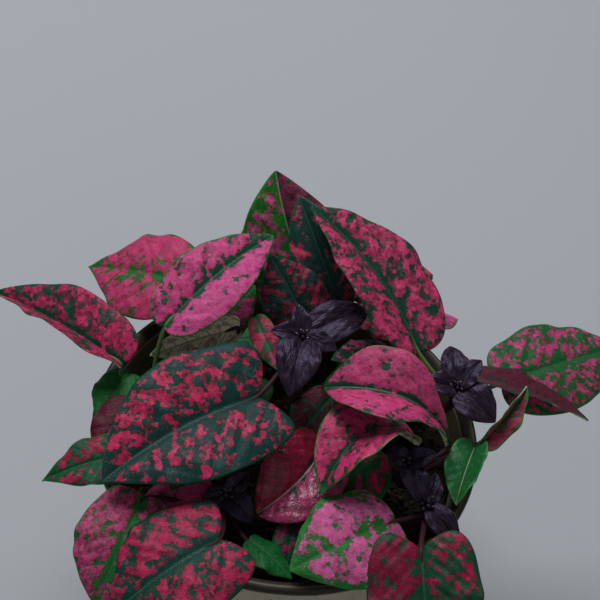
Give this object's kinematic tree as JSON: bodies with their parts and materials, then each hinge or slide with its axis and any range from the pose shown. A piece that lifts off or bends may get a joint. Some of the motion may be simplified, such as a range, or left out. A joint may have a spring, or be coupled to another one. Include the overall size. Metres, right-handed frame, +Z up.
{
  "type": "potted polka dot plant",
  "caption": "Small tapered stoneware pot with a lip, filled with soil, holding leafy stems of pink and dark green spotted heart-shaped leaves with dark young crowns.",
  "frame": {"origin": "centre of the pot's foot, on the surface it stands on", "axes": "+Z up, -Y towards the front (the side the picture shows), +X to the right seen from the front"},
  "size_m": [0.1891, 0.1509, 0.1403],
  "materials": {
    "stoneware": "matte",
    "potting_mix": "matte",
    "leaves": "satin",
    "young_leaves": "gloss"
  },
  "bodies": {
    "root": {"pot": "stoneware", "soil": "potting_mix", "leafy_stem_centre": "leaves", "leafy_stem_back": "leaves", "leafy_stem_back_left": "leaves", "leafy_stem_left": "leaves", "leafy_stem_front_left": "leaves", "leafy_stem_front_right": "leaves", "leafy_stem_right_front": "leaves", "leafy_stem_right_back": "leaves", "crown_centre": "young_leaves", "crown_right_back": "young_leaves", "crown_right_front": "young_leaves", "crown_front_right": "young_leaves", "crown_back_left": "young_leaves", "crown_front_left": "young_leaves"}
  },
  "joints": []
}
